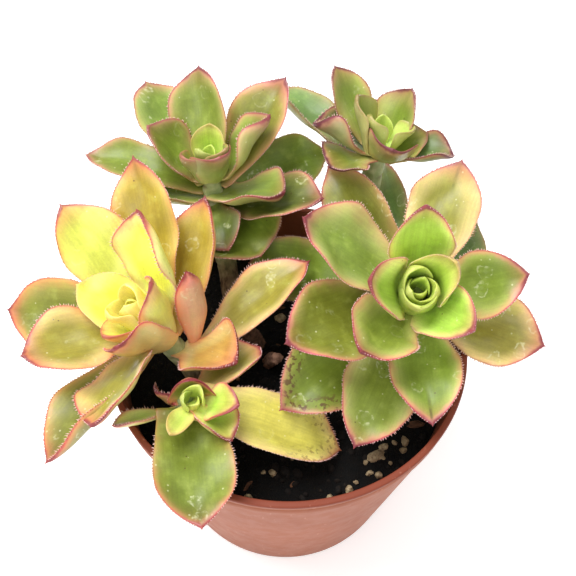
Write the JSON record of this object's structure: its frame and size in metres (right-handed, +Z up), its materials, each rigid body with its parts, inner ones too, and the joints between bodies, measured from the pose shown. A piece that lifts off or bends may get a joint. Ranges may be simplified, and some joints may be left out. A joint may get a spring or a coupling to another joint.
{
  "type": "potted aeonium",
  "caption": "Potted aeonium succulent: leafy rosettes on short stems, rooted in soil in a thin tapered plastic nursery pot.",
  "frame": {"origin": "centre of the flat pad on the pot's underside, on the pot's axis", "axes": "+Z up along the pot's axis, +X across the plant's longest side to the right, -Y towards the front"},
  "size_m": [0.1554, 0.1412, 0.1272],
  "materials": {
    "terracotta_plastic": "thin moulded polypropylene in terracotta orange, satin, with a slight sheen",
    "soil": "damp black peat mix with fine crumbs and pale perlite grains",
    "stem_skin": "smooth young green-grey skin with leaf scars, browner near the soil",
    "left_leaf": "fleshy yellow and gold leaf skin, satin, with pink toothed margins",
    "right_leaf": "fleshy green leaf skin, satin, with paler edges and pink toothed margins",
    "back_left_leaf": "fleshy green leaf skin, satin, with thin red margins",
    "back_right_leaf": "fleshy blue-green leaf skin, satin, with dark red margins",
    "pup_leaf": "fleshy pale green leaf skin, satin, with pink toothed margins",
    "heart_leaf": "tender bright yellow-green leaf skin of the closed heart"
  },
  "bodies": {
    "root": {"back_left_heart": "heart_leaf", "back_left_leaf_01": "back_left_leaf", "back_left_leaf_02": "back_left_leaf", "back_left_leaf_03": "back_left_leaf", "back_left_leaf_04": "back_left_leaf", "back_left_leaf_05": "back_left_leaf", "back_left_leaf_06": "back_left_leaf", "back_left_leaf_07": "back_left_leaf", "back_left_leaf_08": "back_left_leaf", "back_left_leaf_09": "back_left_leaf", "back_left_leaf_10": "back_left_leaf", "back_left_leaf_11": "back_left_leaf", "back_left_leaf_12": "back_left_leaf", "back_left_stem": "stem_skin", "back_right_heart": "heart_leaf", "back_right_leaf_01": "back_right_leaf", "back_right_leaf_02": "back_right_leaf", "back_right_leaf_03": "back_right_leaf", "back_right_leaf_04": "back_right_leaf", "back_right_leaf_05": "back_right_leaf", "back_right_leaf_06": "back_right_leaf", "back_right_stem": "stem_skin", "left_heart": "heart_leaf", "left_leaf_01": "left_leaf", "left_leaf_02": "left_leaf", "left_leaf_03": "left_leaf", "left_leaf_04": "left_leaf", "left_leaf_05": "left_leaf", "left_leaf_06": "left_leaf", "left_leaf_07": "left_leaf", "left_leaf_08": "left_leaf", "left_leaf_09": "left_leaf", "left_leaf_10": "left_leaf", "left_leaf_11": "left_leaf", "left_stem": "stem_skin", "pot": "terracotta_plastic", "pup_heart": "heart_leaf", "pup_leaf_01": "pup_leaf", "pup_leaf_02": "pup_leaf", "pup_leaf_03": "pup_leaf", "pup_leaf_04": "pup_leaf", "pup_leaf_05": "pup_leaf", "pup_leaf_06": "pup_leaf", "pup_stem": "stem_skin", "right_heart": "heart_leaf", "right_leaf_01": "right_leaf", "right_leaf_02": "right_leaf", "right_leaf_03": "right_leaf", "right_leaf_04": "right_leaf", "right_leaf_05": "right_leaf", "right_leaf_06": "right_leaf", "right_leaf_07": "right_leaf", "right_leaf_08": "right_leaf", "right_leaf_09": "right_leaf", "right_leaf_10": "right_leaf", "right_leaf_11": "right_leaf", "right_leaf_12": "right_leaf", "right_leaf_13": "right_leaf", "right_stem": "stem_skin", "soil": "soil"}
  },
  "joints": []
}
